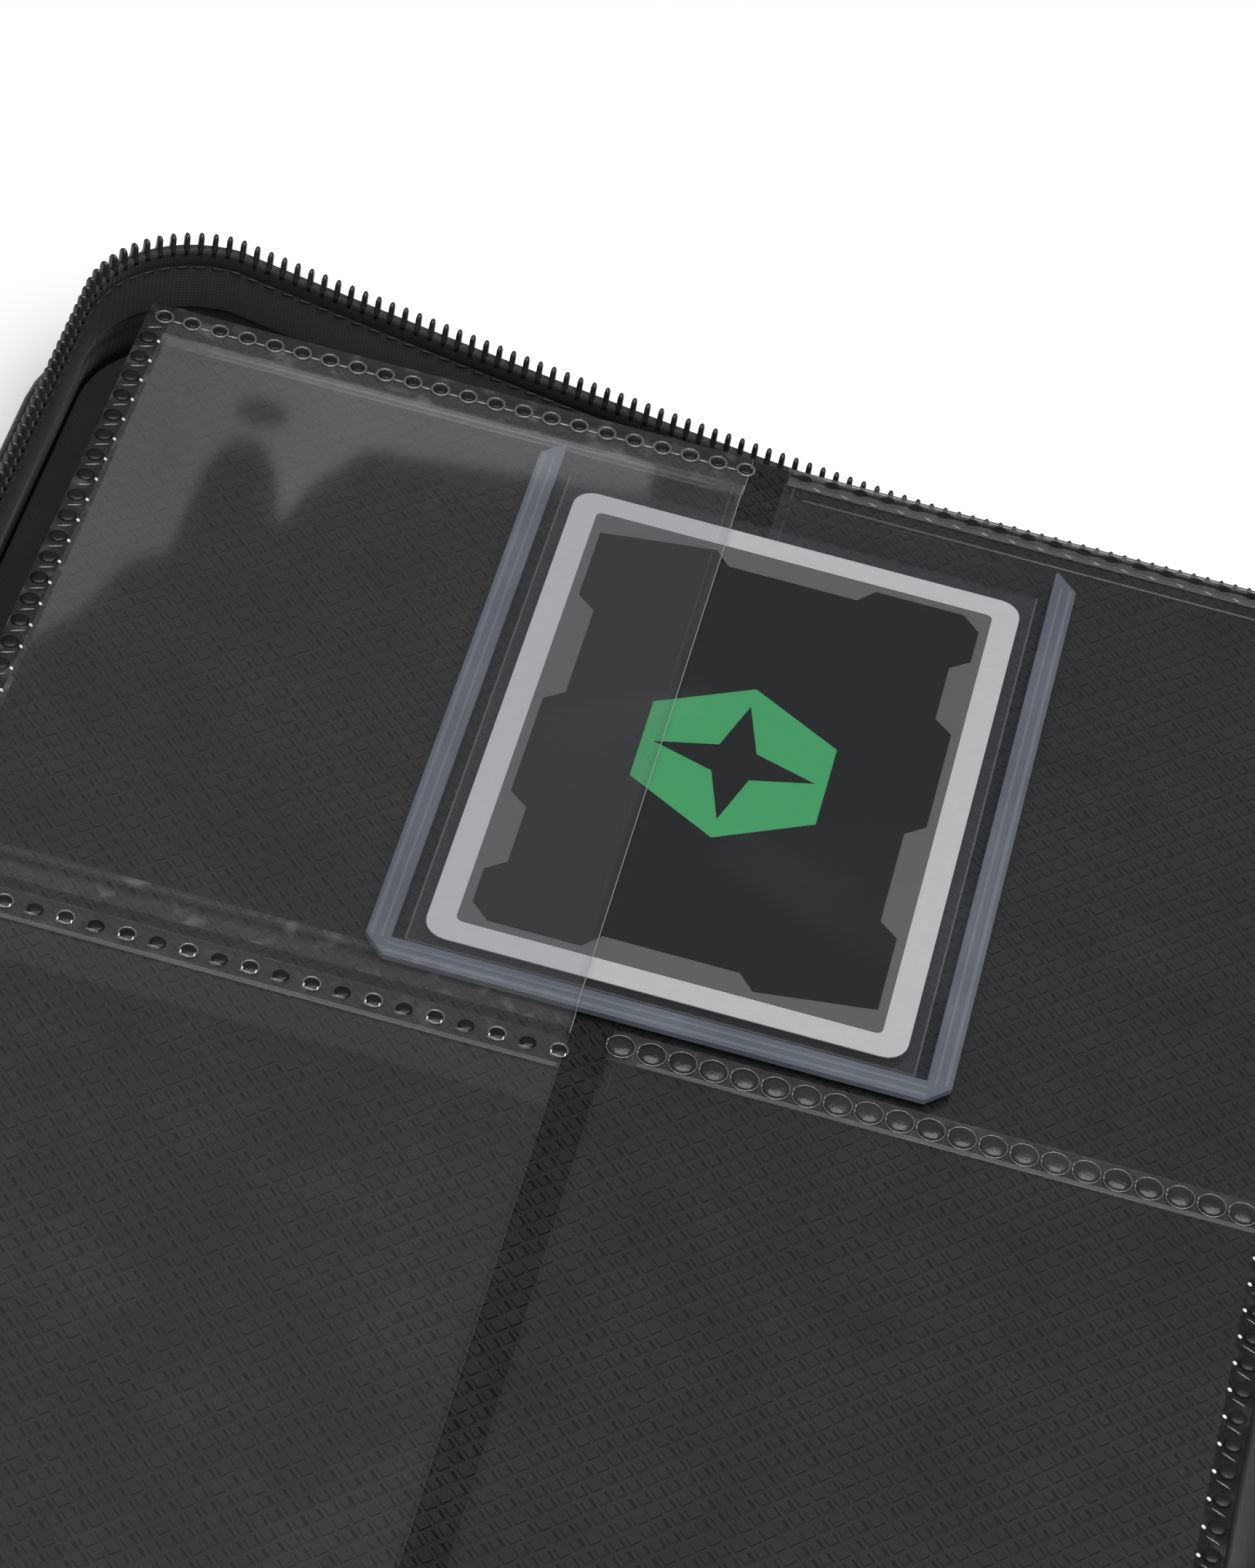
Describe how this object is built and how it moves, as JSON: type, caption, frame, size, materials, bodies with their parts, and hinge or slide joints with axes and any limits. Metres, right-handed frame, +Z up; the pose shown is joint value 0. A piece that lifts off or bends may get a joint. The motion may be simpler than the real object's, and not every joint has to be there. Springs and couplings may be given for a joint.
{
  "type": "trading card binder",
  "caption": "Zip-around binder for rigid card holders, lying open with clear pocket leaves bound at the spine and a card holder half out of one pocket.",
  "frame": {"origin": "on the floor under the middle of the spine, covers lying open and flat", "axes": "+X from the front cover to the back cover, +Y along the spine towards the leaves' top edge, +Z up"},
  "size_m": [0.465, 0.256, 0.0247],
  "materials": {
    "leatherette": "grained",
    "board": "matte",
    "lining": "woven",
    "gusset_fabric": "woven",
    "zip_tape": "woven",
    "zip_teeth": "satin",
    "leaf_backing": "embossed",
    "clear_film": "clear soft plastic film",
    "clamp_plastic": "satin",
    "rivet_metal": "satin",
    "holder_sheet": "clear rigid plastic",
    "holder_rail": "clear rigid plastic",
    "sleeve_film": "clear soft plastic film",
    "card": "coated",
    "slider_metal": "satin black",
    "pull_rubber": "matte"
  },
  "bodies": {
    "back_cover": {"back_outer_skin": "leatherette", "back_stiffening_board": "board", "back_inner_lining": "lining", "back_gusset": "gusset_fabric", "back_zip_tape": "zip_tape", "back_zip_teeth": "zip_teeth", "back_leaf_1_backing": "leaf_backing", "back_leaf_1_pockets": "clear_film", "back_leaf_2_backing": "leaf_backing", "back_leaf_2_pockets": "clear_film", "back_leaf_3_backing": "leaf_backing", "back_leaf_3_pockets": "clear_film", "back_leaf_4_backing": "leaf_backing", "back_leaf_4_pockets": "clear_film", "back_leaf_5_backing": "leaf_backing", "back_leaf_5_pockets": "clear_film"},
    "spine": {"spine_outer_skin": "leatherette", "spine_board": "board", "spine_lining": "lining", "front_hinge_crease": "leatherette", "front_corner_gussets": "zip_tape", "back_hinge_crease": "leatherette", "back_corner_gussets": "zip_tape", "spine_end_tapes": "zip_tape", "spine_end_teeth": "zip_teeth", "zip_end_stops": "slider_metal", "binding_base_strip": "clamp_plastic", "binding_clamp_bar": "clamp_plastic", "binding_rivets": "rivet_metal", "front_leaf_1_margin": "leaf_backing", "front_leaf_margins": "leaf_backing", "back_leaf_margins": "leaf_backing"},
    "front_cover": {"front_outer_skin": "leatherette", "front_stiffening_board": "board", "front_inner_lining": "lining", "front_gusset": "gusset_fabric", "front_zip_tape": "zip_tape", "front_zip_teeth": "zip_teeth", "front_leaf_2_backing": "leaf_backing", "front_leaf_2_pockets": "clear_film", "front_leaf_3_backing": "leaf_backing", "front_leaf_3_pockets": "clear_film", "front_leaf_4_backing": "leaf_backing", "front_leaf_4_pockets": "clear_film", "front_leaf_5_backing": "leaf_backing", "front_leaf_5_pockets": "clear_film"},
    "leaf_1": {"front_leaf_1_backing": "leaf_backing", "front_leaf_1_outer_pockets": "clear_film", "front_leaf_1_inner_pockets": "clear_film", "front_leaf_1_rear_pockets": "clear_film"},
    "card_holder": {"holder_rear_sheet": "holder_sheet", "holder_front_sheet": "holder_sheet", "holder_rails": "holder_rail", "card_sleeve": "sleeve_film", "card": "card"},
    "zip_slider": {"zip_slider_body": "slider_metal"},
    "zip_pull": {"zip_pull_tab": "slider_metal", "zip_pull_grip": "pull_rubber"}
  },
  "joints": [
    {"name": "spine_fold", "type": "hinge", "parent": "back_cover", "child": "spine", "pos_m": [0.024, 0, 0.001], "axis": [0, 1, 0], "range_deg": [0, 90], "deforming": ["front_hinge_crease", "back_hinge_crease", "front_corner_gussets", "back_corner_gussets", "front_leaf_1_margin", "front_leaf_margins", "back_leaf_margins"]},
    {"name": "front_fold", "type": "hinge", "parent": "spine", "child": "front_cover", "pos_m": [-0.024, 0, 0.001], "axis": [0, 1, 0], "range_deg": [0, 90]},
    {"name": "leaf_turn", "type": "hinge", "parent": "front_cover", "child": "leaf_1", "pos_m": [-0.0325, 0, 0.0193], "axis": [0, -1, 0], "range_deg": [-180, 0]},
    {"name": "holder_slide", "type": "slide", "parent": "leaf_1", "child": "card_holder", "axis": [1, 0, 0], "range_m": [-0.05, 0.03]},
    {"name": "slider_travel", "type": "slide", "parent": "back_cover", "child": "zip_slider", "axis": [1, 0, 0], "range_m": [0, 0.056]},
    {"name": "pull_swing", "type": "hinge", "parent": "zip_slider", "child": "zip_pull", "pos_m": [0.044, -0.12675, 0.00873], "axis": [0, 0, 1], "range_deg": [-180, 0]}
  ],
  "couplings": [
    {"joint": "front_fold", "follows": "spine_fold", "ratio": 1}
  ]
}
